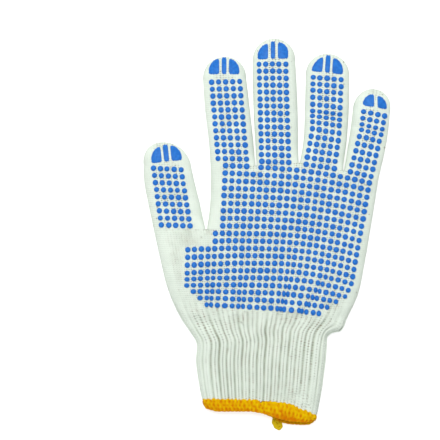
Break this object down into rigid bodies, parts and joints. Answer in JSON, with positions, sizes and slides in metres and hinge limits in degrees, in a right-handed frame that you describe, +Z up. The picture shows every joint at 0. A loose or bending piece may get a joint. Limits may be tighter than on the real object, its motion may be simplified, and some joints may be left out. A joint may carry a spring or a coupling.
{
  "type": "pvc dotted knit glove",
  "caption": "Seamless string-knit work glove for a left hand, lying palm up, with raised soft dots on the palm and fingers, printed fingertips, a ribbed cuff and an overlocked hem.",
  "frame": {"origin": "under the middle of the whole glove, on the surface that it lies on", "axes": "+Y from the cuff towards the fingertips, +Z up out of the dotted palm, +X from the thumb side to the little finger side"},
  "size_m": [0.1538, 0.2442, 0.0105],
  "materials": {
    "cotton_knit": "matte undyed cotton and polyester string knit, slightly greenish white",
    "overlock_yarn": "matte yellow overlock yarn with orange shading in its loops",
    "pvc_print": "soft blue PVC, satin"
  },
  "bodies": {
    "root": {"overlock_hem": "overlock_yarn", "yarn_tail": "overlock_yarn", "ribbed_cuff": "cotton_knit", "lower_hand": "cotton_knit", "upper_hand": "cotton_knit", "thumb": "cotton_knit", "thumb_film_left": "pvc_print", "thumb_film_stripe": "pvc_print", "thumb_film_right": "pvc_print", "index_finger": "cotton_knit", "index_finger_film_left": "pvc_print", "index_finger_film_stripe": "pvc_print", "index_finger_film_right": "pvc_print", "middle_finger": "cotton_knit", "middle_finger_film_left": "pvc_print", "middle_finger_film_stripe": "pvc_print", "middle_finger_film_right": "pvc_print", "ring_finger": "cotton_knit", "ring_finger_film_left": "pvc_print", "ring_finger_film_stripe": "pvc_print", "ring_finger_film_right": "pvc_print", "little_finger": "cotton_knit", "little_finger_film_left": "pvc_print", "little_finger_film_right": "pvc_print"}
  },
  "joints": []
}
